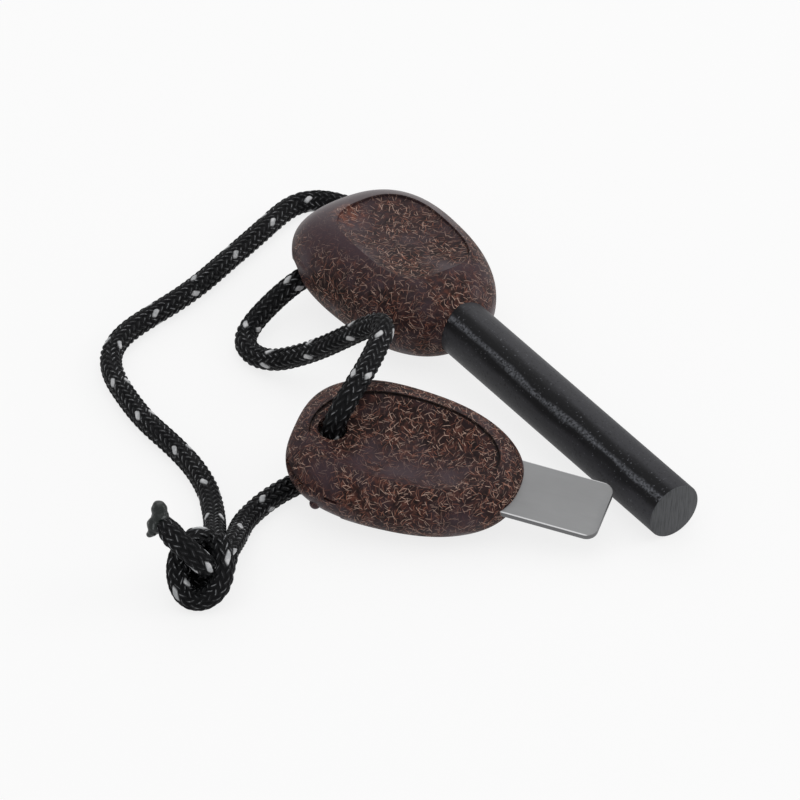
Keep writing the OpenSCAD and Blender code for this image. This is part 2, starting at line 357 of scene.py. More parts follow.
@dataclass(frozen=True)
class FibreComposite:
    """Dark moulded composite with plant fibres that show where its skin is worn or thin."""

    name: str
    dish: Dish
    worn_dish: float = 0.95
    worn_butt: float = 0.8
    flank_top: float = 0.013
    # Strength of the painted shade in the rim's crease
    crease_shade: float = 0.8
    tufted: bool = False
    seed: float = 0.0
    smooth_skin: Colour = (0.05, 0.029, 0.036, 1.0)
    worn_skin: Colour = (0.016, 0.0058, 0.0058, 1.0)
    fleece: Colour = (0.085, 0.034, 0.027, 1.0)
    ember: Colour = (0.13, 0.043, 0.028, 1.0)
    deep: Colour = (0.003, 0.0015, 0.0015, 1.0)
    straw: Colour = (0.66, 0.45, 0.36, 1.0)
    rust: Colour = (0.34, 0.135, 0.088, 1.0)
    # Clumps of wear, mottled ground, rusty patches in it, and hollows
    clumps: Pattern = Pattern(130.0, 3.0, 0.0, (0.3, 0.58))
    mottle: Pattern = Pattern(900.0, 4.0, 3.0, (0.44, 0.74))
    rusty: Pattern = Pattern(105.0, 2.0, 21.0, (0.5, 0.64))
    hollow: Pattern = Pattern(600.0, 3.0, 5.0, (0.48, 0.68))
    # Steps in metres: across the rim, down the flank, along the butt, beside the rim and across the painted shade
    # in its crease
    rim_step: Step = (0.0004, -0.0004)
    flank_lean: float = -0.22
    flank_fade: float = 0.0045
    butt_step: Step = (-0.0185, -0.0115)
    lip_step: Step = (0.0022, 0.0004)
    crease_shade_step: Step = (0.00024, 0.0001)
    # The tuft of bright fibre, and the end of the dish that is still smooth
    tuft_at: tuple[float, float, float] = (-0.0105, -0.0035, 0.0076)
    tuft_step: Step = (0.0042, 0.0015)
    tuft_mottle: Step = (0.38, 0.66)
    smooth_end: Step = (0.007, -0.001)
    # A fibre's half width in metres, and its half length and depth as shares of its cell, each with a soft edge
    fibre_width: Step = (0.00007, 0.00002)
    fibre_length: Step = (0.46, 0.26)
    fibre_depth: Step = (0.5, 0.3)
    curl: float = 0.9
    gloss: float = 0.16
    bump: float = 0.00005
    # Fibres in a metre, and a seed, for each layer
    layers: tuple[tuple[float, float], ...] = ((1050.0, 0.31), (900.0, 0.47), (800.0, 0.57), (720.0, 0.71),
                                               (640.0, 0.97), (640.0, 0.83), (580.0, 1.53), (520.0, 1.17),
                                               (480.0, 1.41))

    def fibres(self, nodes: Nodes, coords: object, normal: object, scale: float,
               seed: float) -> tuple[bpy.types.NodeSocket, bpy.types.NodeSocket]:
        """One layer of straight and gently curled fibres that lie along the skin in all directions.

        Args:
            nodes: The material's node helper.
            coords: The handle's own coordinates.
            normal: The skin's normal in the same frame.
            scale: Fibres in a metre.
            seed: An offset that sets this layer apart.

        Returns:
            A mask that is up to 1 on a fibre, and each fibre's colour.
        """
        moved = nodes.vector("ADD", coords, (seed, seed * 0.7, seed * 1.3)).outputs[0]
        cell = nodes.add("TexVoronoi", voronoi_dimensions="3D", _0=moved, _2=scale)
        away = nodes.vector("SUBTRACT", moved, cell.outputs["Position"]).outputs[0]
        random = nodes.vector("SUBTRACT", cell.outputs["Color"], (0.5, 0.5, 0.5)).outputs[0]
        own = nodes.add("SeparateColor", _0=cell.outputs["Color"]).outputs
        along = nodes.vector("NORMALIZE", nodes.vector("CROSS_PRODUCT", normal, random).outputs[0]).outputs[0]
        across = nodes.vector("CROSS_PRODUCT", normal, along).outputs[0]
        length = nodes.vector("DOT_PRODUCT", away, along).outputs[1]
        curl = nodes.math("MULTIPLY_ADD", own[0], self.curl * scale, -self.curl / 2 * scale)
        bow = nodes.times(nodes.times(length, length), curl)
        width = nodes.vector("DOT_PRODUCT", away, across).outputs[1]
        bowed = nodes.math("ABSOLUTE", nodes.math("ADD", width, bow))
        thin = nodes.between(bowed, *self.fibre_width)
        whole = nodes.between(nodes.math("ABSOLUTE", length), *(half / scale for half in self.fibre_length))
        under = nodes.math("ABSOLUTE", nodes.vector("DOT_PRODUCT", away, normal).outputs[1])
        near = nodes.between(under, *(half / scale for half in self.fibre_depth))
        strong = nodes.between(own[1], 0.05, 1.0)
        mask = nodes.times(nodes.times(thin, whole), nodes.times(near, strong))
        return mask, nodes.mix(nodes.between(own[2], 0.3, 0.7), self.rust, self.straw)

    def rim(self, nodes: Nodes, split: bpy.types.Node) -> bpy.types.NodeSocket:
        """Metres outwards from the thumb dish's rim, and below 0 inside it.

        Args:
            nodes: The material's node helper.
            split: The handle's own X, Y and Z.

        Returns:
            The distance's socket.
        """
        power = 2 / self.dish.power
        shares = []
        for axis, middle, size in ((0, self.dish.x, self.dish.length), (1, self.dish.y, self.dish.width)):
            off = nodes.math("SUBTRACT", split.outputs[axis], middle * MM)
            share = nodes.math("DIVIDE", nodes.math("ABSOLUTE", off), size / 2 * MM)
            shares.append(nodes.math("POWER", share, power))
        ring = nodes.math("POWER", nodes.math("ADD", *shares), 1 / power)
        return nodes.times(nodes.math("SUBTRACT", ring, 1.0), self.dish.width / 2 * MM)

    def wear(self, nodes: Nodes, coords: object, split: bpy.types.Node, out: object,
             above: object) -> bpy.types.NodeSocket:
        """Where the smooth skin is gone: along the flanks, more so towards the nose, and in the dish.

        Args:
            nodes: The material's node helper.
            coords: The handle's own coordinates.
            split: Their X, Y and Z.
            out: Metres outwards from the rim.
            above: A mask of the handle's upper half.

        Returns:
            The wear's mask.
        """
        x, y, z = split.outputs[0], split.outputs[1], split.outputs[2]
        inside = nodes.times(nodes.between(out, *self.rim_step), above)
        leaned = nodes.math("MULTIPLY_ADD", x, self.flank_lean, z)
        flank = nodes.between(leaned, self.flank_top, self.flank_top - self.flank_fade)
        butt = nodes.math("MULTIPLY_ADD", nodes.between(x, *self.butt_step), 1 - self.worn_butt, self.worn_butt)
        bowl = nodes.times(inside, self.worn_dish)
        if self.tufted:
            # The dish's end towards the rod is still smooth
            smooth_end = nodes.between(nodes.math("MULTIPLY_ADD", y, -0.45, x), *self.smooth_end)
            bowl = nodes.times(bowl, smooth_end)
        bare = nodes.math("MAXIMUM", nodes.times(flank, butt), bowl)
        lip = nodes.between(nodes.math("ABSOLUTE", out), *self.lip_step)
        bare = nodes.math("SUBTRACT", bare, nodes.times(lip, 0.12), clamp=True)
        clumps = nodes.pattern(coords, self.clumps, self.seed)
        return nodes.math("MULTIPLY", bare, clumps, clamp=True)

    def build(self, into_handle: Matrix) -> bpy.types.Material:
        """Make the material.

        Args:
            into_handle: From the row frame to the handle's own.

        Returns:
            The composite.
        """
        nodes = Nodes(self.name)
        where, coords = nodes.own_frame(into_handle)
        turn = tuple(into_handle.to_euler())
        normal = nodes.add("Mapping", vector_type="NORMAL", _0=where.outputs["Normal"], _2=turn).outputs[0]
        split = nodes.add("SeparateXYZ", _0=coords)
        out = self.rim(nodes, split)
        above = nodes.between(split.outputs[2], 0.0, 0.002)
        worn = self.wear(nodes, coords, split, out, above)
        colour = nodes.mix(worn, self.smooth_skin, self.worn_skin)
        mottle = nodes.noise(coords, self.mottle, self.seed)
        fleece = nodes.times(nodes.between(mottle, *self.mottle.step), nodes.math("MULTIPLY_ADD", worn, 0.8, 0.1))
        rusty = nodes.pattern(coords, self.rusty, self.seed)
        colour = nodes.mix(fleece, colour, nodes.mix(rusty, self.fleece, self.ember))
        hollow = nodes.pattern(coords, self.hollow, self.seed)
        colour = nodes.mix(nodes.times(hollow, nodes.times(worn, 0.75)), colour, self.deep)
        shown = nodes.math("MULTIPLY_ADD", worn, 0.85, 0.08)
        if self.tufted:
            # A tuft of bright fibre at the dish's near corner by the butt
            spot = nodes.vector("SUBTRACT", coords, self.tuft_at).outputs[0]
            tuft = nodes.between(nodes.vector("LENGTH", spot).outputs[1], *self.tuft_step)
            colour = nodes.mix(nodes.times(tuft, nodes.between(mottle, *self.tuft_mottle)), colour,
                               self.ember)
            shown = nodes.math("MULTIPLY_ADD", tuft, 0.6, shown, clamp=True)
        every = None
        for scale, seed in self.layers:
            mask, tint = self.fibres(nodes, coords, normal, scale, seed + self.seed)
            seen = nodes.times(mask, shown)
            colour = nodes.mix(seen, colour, tint)
            every = seen if every is None else nodes.math("MAXIMUM", every, seen)
        colour = self.crease(nodes, split, out, above, colour)
        rough = nodes.math("MULTIPLY_ADD", worn, 0.28, 0.32)
        grain = nodes.math("MULTIPLY_ADD", every, 0.9, nodes.times(mottle, 0.3))
        return nodes.finish(colour, rough, grain, self.bump, self.gloss)

    def crease(self, nodes: Nodes, split: bpy.types.Node, out: object, above: object,
               colour: object) -> bpy.types.NodeSocket:
        """Painted shade that darkens the step inside the rim's far side.

        Args:
            nodes: The material's node helper.
            split: The handle's own X, Y and Z.
            out: Metres outwards from the rim.
            above: A mask of the handle's upper half.
            colour: The colour so far.

        Returns:
            The new colour.
        """
        # A thin band of painted shade along the step inside the rim, on its far side only
        line = nodes.math("ABSOLUTE", nodes.math("ADD", out, 0.00008))
        crease_shade = nodes.times(nodes.between(line, *self.crease_shade_step), above)
        far = nodes.between(split.outputs[1], -0.004, 0.001)
        return nodes.mix(nodes.times(crease_shade, nodes.times(far, self.crease_shade)), colour, self.deep)


@dataclass(frozen=True)
class GroundAlloy:
    """Satin ferrocerium: smooth grey with a black pitted band along it and a dull scuff in the band."""

    name: str = "ferrocerium_satin"
    smooth_grey: Colour = (0.037, 0.037, 0.042, 1.0)
    sawn_grey: Colour = (0.085, 0.087, 0.092, 1.0)
    sawn_dark: Colour = (0.05, 0.052, 0.055, 1.0)
    speck: Colour = (0.26, 0.27, 0.3, 1.0)
    black: Colour = (0.003, 0.003, 0.004, 1.0)
    # The black band's middle and its edges, and the scuff in it, as angles in radians round the rod
    band_at: float = -2.5
    band_step: Step = (0.3, 0.62)
    streak_at: float = 0.04
    streak_step: Step = (0.16, 0.02)
    end_z: float = 0.0399
    end_fade: float = 0.00003
    wander: Pattern = Pattern(420.0, 3.0, 1.0)
    dust: Pattern = Pattern(2100.0, 4.0, 2.0, (0.61, 0.7))
    pits: Step = (0.42, 0.34)
    scuffs: Pattern = Pattern(2400.0, 5.0, 5.0, (0.3, 0.68))
    sawn: Pattern = Pattern(2400.0, 3.0, 7.0, (0.3, 0.6))
    grain: Pattern = Pattern(2600.0, 3.0, 8.0)
    gloss: float = 0.18
    bump: float = 0.00003

    def build(self, into_rod: Matrix) -> bpy.types.Material:
        """Make the material.

        Args:
            into_rod: From the row frame to the rod's own, where Z runs along it.

        Returns:
            The alloy.
        """
        nodes = Nodes(self.name)
        local = nodes.own_frame(into_rod)[1]
        split = nodes.add("SeparateXYZ", _0=local)
        around = nodes.math("ARCTAN2", split.outputs[1], split.outputs[0])
        stretched = nodes.vector("MULTIPLY", local, (1.0, 1.0, 0.2)).outputs[0]
        wander = nodes.math("MULTIPLY_ADD", nodes.noise(stretched, self.wander), 0.5, -0.25)
        from_band = nodes.math("ADD", nodes.math("SUBTRACT", around, self.band_at), wander)
        off = nodes.math("ABSOLUTE", from_band)
        band = nodes.math("SUBTRACT", 1.0, nodes.between(off, *self.band_step))
        dust = nodes.noise(local, self.dust)
        specks = nodes.between(dust, *self.dust.step)
        off_streak = nodes.math("ABSOLUTE", nodes.math("SUBTRACT", from_band, self.streak_at))
        streak = nodes.between(off_streak, *self.streak_step)
        scuffs = nodes.pattern(local, self.scuffs)
        scuffed = nodes.times(streak, scuffs, 0.5)
        dusted = nodes.times(specks, nodes.math("MULTIPLY_ADD", band, 0.26, 0.16))
        light = nodes.math("MAXIMUM", dusted, scuffed)
        base = nodes.mix(nodes.times(band, 0.92), self.smooth_grey, self.black)
        pits = nodes.times(nodes.between(dust, *self.pits), 0.5)
        base = nodes.mix(pits, base, self.black)
        colour = nodes.mix(light, base, self.speck)
        face = nodes.between(split.outputs[2], self.end_z - self.end_fade, self.end_z)
        sawn = nodes.noise(nodes.vector("MULTIPLY", local, (0.12, 1.6, 1.0)).outputs[0], self.sawn)
        sawn_tint = nodes.mix(nodes.between(sawn, *self.sawn.step), self.sawn_dark, self.sawn_grey)
        colour = nodes.mix(face, colour, sawn_tint)
        rough = nodes.math("MULTIPLY_ADD", band, 0.1, 0.47)
        height = nodes.mix(face, nodes.noise(stretched, self.grain), sawn)
        return nodes.finish(colour, rough, height, self.bump, self.gloss)


@dataclass(frozen=True)
class ScraperSteel:
    """Bead-blasted flat steel with faint grinding lines, polished top bevels painted light as a highlight, and
    painted shade on its side walls.
    """

    name: str = "scraper_steel"
    grey: Colour = (0.3, 0.302, 0.306, 1.0)
    cloudy: Colour = (0.26, 0.262, 0.265, 1.0)
    # A painted highlight on the polished top bevels, and painted shade on the side walls
    polished_highlight: Colour = (0.72, 0.72, 0.73, 1.0)
    side: Colour = (0.16, 0.16, 0.165, 1.0)
    width: float = 0.0115
    thick: float = 0.0012
    rise: float = 0.00065
    # Metres inside the outer faces: where the bevel's polish and its painted highlight fade in from the side and
    # from the top, and where the painted shade of the side walls fades in
    bevel_side: Step = (0.00022, 0.0001)
    bevel_top: Step = (0.0003, 0.00015)
    shaded_walls: Step = (0.0001, 0.0002)
    lines: Pattern = Pattern(1800.0, 3.0, 4.0)
    cloud: Pattern = Pattern(160.0, 2.0, 6.0)
    metallic: float = 0.85
    gloss: float = 0.5
    bump: float = 0.000006

    def build(self, into_blade: Matrix) -> bpy.types.Material:
        """Make the material.

        Args:
            into_blade: From the row frame to the blade's own, where X runs along it.

        Returns:
            The steel.
        """
        nodes = Nodes(self.name)
        coords = nodes.own_frame(into_blade)[1]
        lines = nodes.noise(nodes.vector("MULTIPLY", coords, (0.12, 1.0, 1.0)).outputs[0], self.lines)
        colour = nodes.mix(nodes.noise(coords, self.cloud), self.grey, self.cloudy)
        nodes.shader.inputs["Metallic"].default_value = self.metallic
        split = nodes.add("SeparateXYZ", _0=coords)
        across = nodes.math("ABSOLUTE", split.outputs[1])
        up = nodes.math("SUBTRACT", split.outputs[2], self.rise)
        # Painted highlight along the polished bevels of the top's long edges
        at_side = nodes.between(across, *(self.width / 2 - inside for inside in self.bevel_side))
        at_top = nodes.between(up, *(self.thick / 2 - inside for inside in self.bevel_top))
        colour = nodes.mix(nodes.times(at_side, at_top), colour, self.polished_highlight)
        # Painted shade on the side walls, half way up the thickness
        shaded_walls = nodes.between(nodes.math("ABSOLUTE", up), *(self.thick / 2 - inside for inside in self.shaded_walls))
        colour = nodes.mix(shaded_walls, colour, self.side)
        rough = nodes.math("MULTIPLY_ADD", lines, 0.14, 0.4)
        return nodes.finish(colour, rough, lines, self.bump, self.gloss)


@dataclass(frozen=True)
class BraidYarn:
    """Black yarn of fine continuous fibres, with tracer yarn that surfaces as pale flat flecks, and painted glints
    where its fibres catch the light.
    """

    name: str = "braid_yarn"
    black: Colour = (0.0035, 0.0037, 0.0045, 1.0)
    # Grey of the painted glints, where the fibres catch the light
    painted_glint_grey: Colour = (0.3, 0.305, 0.32, 1.0)
    tracer: Colour = (0.62, 0.62, 0.63, 1.0)
    tracer_shade: Colour = (0.4, 0.41, 0.42, 1.0)
    # Clusters and sparks that set where the painted glints show
    glint_clusters: Pattern = Pattern(320.0, 2.0, 1.0, (0.44, 0.6))
    spark: Pattern = Pattern(2600.0, 2.0, 7.0, (0.34, 0.6))
    creased: Pattern = Pattern(900.0, 3.0, 3.0, (0.4, 0.62))
    fuzz: Pattern = Pattern(5200.0, 2.0, 5.0)
    gloss: float = 0.12
    bump: float = 0.00005

    def build(self) -> bpy.types.Material:
        """Make the material. It reads the braid's own attributes, so that it follows every bend.

        Returns:
            The yarn.
        """
        nodes = Nodes(self.name)
        coords = nodes.add("TexCoord").outputs["Object"]
        fleck = nodes.add("Attribute", attribute_name="fleck").outputs["Fac"]
        hair = nodes.add("Attribute", attribute_name="hair").outputs["Fac"]
        # Painted glints in clusters along the crowns of the strands
        patch = nodes.math("MULTIPLY_ADD", nodes.pattern(coords, self.glint_clusters), 0.75, 0.25)
        spark = nodes.pattern(coords, self.spark)
        glint = nodes.times(nodes.between(hair, 0.4, 0.8), nodes.times(patch, spark))
        colour = nodes.mix(nodes.times(glint, 0.85), self.black, self.painted_glint_grey)
        pale = nodes.mix(nodes.pattern(coords, self.creased), self.tracer_shade, self.tracer)
        colour = nodes.mix(fleck, colour, pale)
        rough = nodes.math("SUBTRACT", 0.52, nodes.times(fleck, 0.1))
        return nodes.finish(colour, rough, nodes.noise(coords, self.fuzz), self.bump, self.gloss)


@dataclass(frozen=True)
class MeltedYarn:
    """Yarn that was melted and pressed between fingers: a dark waxy skin with ripples and a few pale streaks."""

    name: str = "melted_yarn"
    skin: Colour = (0.008, 0.012, 0.011, 1.0)
    streak: Colour = (0.14, 0.15, 0.15, 1.0)
    ripple: Pattern = Pattern(900.0, 3.0, 2.0)
    pale: Pattern = Pattern(1100.0, 3.0, 8.0, (0.57, 0.68))
    gloss: float = 0.4
    bump: float = 0.0003

    def build(self) -> bpy.types.Material:
        """Make the material.

        Returns:
            The melted yarn.
        """
        nodes = Nodes(self.name)
        coords = nodes.add("TexCoord").outputs["Object"]
        ripple = nodes.noise(coords, self.ripple)
        pale = nodes.pattern(coords, self.pale)
        colour = nodes.mix(nodes.times(pale, 0.8), self.skin, self.streak)
        rough = nodes.math("MULTIPLY_ADD", ripple, 0.2, 0.25)
        return nodes.finish(colour, rough, ripple, self.bump, self.gloss)


@dataclass
class Braid:
    """Makes round braided cord along a route."""

    diameter: float = 3.6 * MM
    crown: float = 3.95 * MM
    carriers: int = 12
    lay: float = 1.5 * MM
    relief: float = 0.4 * MM
    ground: float = 1.98 * MM
    step: float = 0.19 * MM
    around: int = 96
    fleck_pitch: float = 11.5 * MM
    fleck_stagger: float = 1.6 * MM
    flecks_around: int = 4
    fleck_half: Step = (0.57, 0.98)
    fleck_sway: float = 0.03
    fleck_reach: float = 1.1
    fleck_edge: float = 0.2
    fleck_height: float = 0.8
    coarse: float = 0.4 * MM
    spline: int = 24
    taper_length: float = 2.5 * MM
    taper_to: float = 0.65
    pressed_from: tuple = (0.66, -0.48, 0.58)

    def path(self, points: list[tuple[float, float, float]], softness: int = 24) -> np.ndarray:
        """A smooth line through a route's points.

        Args:
            points: The route in millimetres.
            softness: Passes of smoothing that ease its bends.

        Returns:
            Points in metres, a step apart.
        """
        knots = np.array(points, float) * MM
        ends = np.vstack([2 * knots[0] - knots[1], knots, 2 * knots[-1] - knots[-2]])
        t = np.linspace(0, 1, self.spline, endpoint=False)[:, None]
        runs = []
        for a, b, c, d in zip(ends[:-3], ends[1:-2], ends[2:-1], ends[3:]):
            bend = (2 * a - 5 * b + 4 * c - d) * t**2 + (3 * b - a - 3 * c + d) * t**3
            runs.append(0.5 * (2 * b + (c - a) * t + bend))
        line = np.vstack(runs + [knots[-1:]])
        for _ in range(2):
            line = self.even(line, self.coarse)
            for _ in range(softness):
                line[1:-1] += 0.5 * (0.5 * (line[:-2] + line[2:]) - line[1:-1])
        line[:, 2] = np.maximum(line[:, 2], self.ground)
        return self.even(line, self.step)

    @staticmethod
    def even(line: np.ndarray, step: float) -> np.ndarray:
        """The same line with its points an equal step apart.

        Args:
            line: Points in order.
            step: The distance between the new points.

        Returns:
            The new points.
        """
        far = np.concatenate([[0], np.cumsum(np.linalg.norm(np.diff(line, axis=0), axis=1))])
        at = np.linspace(0, far[-1], max(3, int(round(far[-1] / step)) + 1))
        return np.stack([np.interp(at, far, line[:, k]) for k in range(3)], axis=1)

    @staticmethod
    def length(line: np.ndarray) -> float:
        """A line's length.

        Args:
            line: Points in order, in metres.

        Returns:
            The length in metres.
        """
        return float(np.linalg.norm(np.diff(line, axis=0), axis=1).sum())

    @staticmethod
    def sides(line: np.ndarray) -> tuple[np.ndarray, np.ndarray]:
        """Two directions across the line at each point, carried along it without twist.

        Args:
            line: Points in order.

        Returns:
            The two directions.
        """
        heading = np.gradient(line, axis=0)
        heading /= np.linalg.norm(heading, axis=1)[:, None]
        side = np.cross(heading[0], Braid.pressed_from)
        first = []
        for h in heading:
            side = side - h * side.dot(h)
            side = side / np.linalg.norm(side)
            first.append(side)
        first = np.array(first)
        return first, np.cross(heading, first)

    def weave(self, turn: np.ndarray, far: np.ndarray, phase: float) -> tuple[np.ndarray, np.ndarray, np.ndarray]:
        """The braid's height, its tracer flecks and where its painted glints show.

        Args:
            turn: Turns round the cord, from 0 to 1.
            far: Metres along the cord.
            phase: Metres by which the flecks are moved along.

        Returns:
            Height from 0 to 1, the fleck mask and the glint mask.
        """
        right = turn * self.carriers + far / self.lay
        left = turn * self.carriers - far / self.lay
        cell_r, cell_l = np.floor(right), np.floor(left)
        # Each strand passes over two and under two
        step = (cell_r + cell_l) % 4
        over = step < 2
        width = np.where(over, right - cell_r, left - cell_l)
        run = (np.where(over, left - cell_l, right - cell_r) + step % 2) / 2
        dome = np.sqrt(np.clip(1 - (2 * width - 1) ** 2, 0, 1))
        arch = np.sin(np.pi * run) ** 0.5
        fleck = np.zeros_like(turn)
        stations = int(np.ceil((far.max() + self.fleck_pitch) / self.fleck_pitch)) + 1
        for station in range(-1, stations):
            for j in range(self.flecks_around):
                at_turn = ((j + 0.5) / self.flecks_around + self.fleck_sway * math.sin(3.1 * station)) % 1.0
                at_far = station * self.fleck_pitch + phase + (0.5 if j % 2 else -0.5) * self.fleck_stagger
                want_r = math.floor(at_turn * self.carriers + at_far / self.lay)
                want_l = math.floor(at_turn * self.carriers - at_far / self.lay)
                want_l -= (want_r + want_l) % 2
                over_right = (want_r + want_l) % 4 < 2
                for lap in (-self.carriers, 0, self.carriers):
                    off_r = right - (want_r + lap + (0.5 if over_right else 1.0))
                    off_l = left - (want_l + lap + (1.0 if over_right else 0.5))
                    wide, long = (off_r, off_l) if over_right else (off_l, off_r)
                    sides = (wide / self.fleck_half[0], long / self.fleck_half[1])
                    reach = sum(np.abs(side) ** 4 for side in sides) ** 0.25
                    fleck = np.maximum(fleck, np.clip((self.fleck_reach - reach) / self.fleck_edge, 0, 1))
        # Streaks across each strand, for the painted glints on its crown
        hair = 0.5 + 0.5 * np.sin(2 * np.pi * 2 * width + 1.3)
        return dome * arch, fleck, hair * dome * arch

    def build(self, name: str, line: np.ndarray, phase: float, tapered: bool = False) -> bpy.types.Object:
        """Make one stretch of cord.

        Args:
            name: The piece's name.
            line: Its middle line.
            phase: Where its flecks start, in metres.
            tapered: Whether the far end narrows, to sit inside the melted button.

        Returns:
            The cord's object.
        """
        across, up = self.sides(line)
        turn = np.arange(self.around) / self.around
        far = np.arange(len(line)) * self.length(line) / (len(line) - 1)
        turns, fars = np.meshgrid(turn, far)
        height, fleck, hair = self.weave(turns, fars, phase)
        height = height * (1 - fleck) + self.fleck_height * fleck
        radius = self.crown / 2 - self.relief * (1 - height)
        if tapered:
            left = np.clip((far[-1] - fars) / self.taper_length, 0, 1)
            radius = radius * (self.taper_to + (1 - self.taper_to) * left)
        angle = 2 * np.pi * turns
        ring = np.cos(angle)[..., None] * across[:, None] + np.sin(angle)[..., None] * up[:, None]
        verts = (line[:, None] + radius[..., None] * ring).reshape(-1, 3)
        n, m = self.around, len(line)
        quads = [(i * n + j, i * n + (j + 1) % n, (i + 1) * n + (j + 1) % n, (i + 1) * n + j)
                 for i in range(m - 1) for j in range(n)]
        caps = [tuple(reversed(range(n))), tuple(range((m - 1) * n, m * n))]
        mesh = bpy.data.meshes.new(name)
        mesh.from_pydata(verts.tolist(), [], quads + caps)
        for key, values in (("fleck", fleck), ("hair", hair)):
            layer = mesh.attributes.new(key, "FLOAT", "POINT")
            layer.data.foreach_set("value", values.reshape(-1).astype(np.float32))
        mesh.shade_smooth()
        piece = bpy.data.objects.new(name, mesh)
        bpy.context.collection.objects.link(piece)
        return piece


@dataclass
class Lanyard:
    """The one cord that ties the set together, in its stretches, with its knot and cut ends."""

    long_run: tuple = (
        (-41.6, 17.5, 6.7), (-41.6, 23, 6.7), (-41.6, 28.5, 6.7), (-42.6, 31.5, 5.8), (-46, 33.2, 4),
        (-50.8, 32.5, 2.5), (-56.2, 30.3, 1.9), (-61.2, 28.4, 1.9), (-65, 26.1, 1.9), (-66.7, 22.6, 1.9),
        (-66, 18.6, 1.9), (-63.6, 12.8, 1.9), (-61, 6.5, 1.9), (-58.4, 0, 1.9), (-56, -6, 1.9),
        (-54, -12.5, 1.9), (-52.6, -19, 1.9), (-50.8, -25.6, 1.9), (-47.2, -31, 1.9), (-41.5, -34.2, 1.9),
        (-34.5, -36, 1.9), (-27, -37.2, 1.9), (-18.9, -37.4, 1.9), (-11.3, -38.1, 1.9), (-4.8, -39.8, 2),
        (0.6, -42.4, 2.4), (5.2, -45.1, 3.2), (9.1, -47.8, 4.8), (12.6, -50, 6), (15.9, -51.4, 6.6))
    front_loop: tuple = (
        (-41.6, 17.3, 6.7), (-41.6, 11.5, 6.7), (-41.6, 6, 6.5), (-41.3, 1.6, 5.4), (-40.8, -2.8, 3.7),
        (-39.5, -7.1, 2.3), (-36.5, -10.5, 1.9), (-32.1, -11.3, 2), (-27.7, -10.2, 3.2), (-23.2, -8.4, 6),
        (-18.3, -6.7, 9.8), (-13.4, -5.2, 14.2), (-9.2, -4, 18), (-6.1, -3.3, 20.6), (-3, -4.4, 21.6),
        (-0.3, -7.9, 20.8), (2.8, -12.3, 20.1), (5.1, -16.4, 19.2), (6.3, -19.4, 17.6), (6.2, -21.2, 15),
        (5.4, -21.3, 12.6), (4.8, -20.8, 10))
    leg: tuple = (
        (4.7, -20.7, 9.7), (4.1, -20.4, 7.2), (3.5, -21, 4.5), (2.9, -22.3, 2.3), (2.6, -25.2, 1.9),
        (2.7, -28.8, 1.9), (3.4, -32.8, 1.9), (4.6, -36.4, 1.9), (6.1, -39.8, 2.1), (9.1, -42.8, 3.2),
        (12.2, -45.8, 4.6), (15, -48.6, 6), (17.4, -51.4, 6.6))
    knot_at: tuple = (17.6, -56.8, 5.1)
    knot_lean: float = 54.5
    knot_side: float = -35.7
    # The knot's two strands in its own frame, where X runs down the knot and Z out of its front
    strand: tuple = (
        (-5.6, 3.4, -0.6), (-3.4, 3.9, 0.8), (-0.6, 4.0, 1.1), (2.1, 3.1, 0.6), (3.9, 0.7, 0.2),
        (3.5, -1.8, 0.1), (1.2, -3.2, 0.2), (-2, -3.4, 0.1), (-4.9, -2.2, -0.6), (-6.2, -0.1, -2),
        (-5.4, 2, -3.6), (-3, 2.4, -3.6), (-1.2, 1.9, -1.6), (-1.5, 1.4, 1.4), (-3.2, -0.4, 3.5),
        (-5.2, -2.6, 3.7), (-7, -4.6, 3.3), (-8.6, -5.9, 2.6))
    back_strand: tuple = (
        (-4.6, 4.8, -2.6), (-1.8, 4.2, -2.5), (0.9, 3.2, -3), (1.7, 0.6, -3.3), (0.8, -2.2, -3.4),
        (-1.8, -3.3, -3.3), (-4.4, -2.6, -3.9), (-5.6, -0.6, -5.2), (-4.6, 1.4, -6), (-2.8, 0.8, -4.6),
        (-2.6, -0.2, -2), (-4, -1.6, -0.4), (-6.2, -3.8, 0), (-7.8, -5, 0.1), (-9.2, -6, 0.5))
    # The melted button's lobes in the same frame: their middles and half sizes
    lobes: tuple = (
        ((-10.85, -6.4, 1.9), (1.5, 1.35, 1.5)), ((-9.7, -6.2, 1.6), (1.4, 1.5, 1.8)),
        ((-8.3, -6.9, 1.8), (1.5, 1.5, 1.6)), ((-7.3, -7.5, 1.7), (0.9, 0.8, 1.1)),
        ((-6.8, -7.9, 1.6), (0.62, 0.65, 0.8)))
    voxel: float = 0.12
    lump: float = 0.16
    lump_size: float = 1.1
    braid: Braid = None

    def build(self, material: bpy.types.Material, melted: bpy.types.Material) -> None:
        """Args:
            material: The yarn.
            melted: The finish of its melted end.
        """
        self.braid = Braid()
        lean = Matrix.Rotation(math.radians(self.knot_lean), 4, "Y")
        side = Matrix.Rotation(math.radians(self.knot_side), 4, "Z")
        frame_of_knot = Matrix.Translation(self.knot_at) @ side @ lean
        front_points = [tuple(frame_of_knot @ Vector(p)) for p in self.strand]
        back_points = [tuple(frame_of_knot @ Vector(p)) for p in self.back_strand]
        knot_front = self.piece("knot_front_strand", front_points, 4 * MM, material, softness=4, tapered=True)[0]
        knot_back = self.piece("knot_back_strand", back_points, 1 * MM, material, softness=4, tapered=True)[0]
        button = self.melted_end(frame_of_knot, melted)
        for part in (knot_front, knot_back, button):
            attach(part, CORD_BODY)
        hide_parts("cord_knot", "cord_tail")
        run, run_line = self.piece("braid_long_run", list(self.long_run), 6 * MM, material)
        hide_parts("cord_long_run")
        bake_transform(run)
        round(Braid.length(run_line), 3)
        loop, loop_line = self.piece("braid_front_loop", list(self.front_loop), 3 * MM, material)
        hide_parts("cord_front_loop")
        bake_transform(loop)
        round(Braid.length(loop_line), 3)
        leg, leg_line = self.piece("braid_leg", list(self.leg), 9 * MM, material)
        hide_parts("cord_knot_leg")
        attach(leg, CORD_BODY)
        round(Braid.length(leg_line), 3)

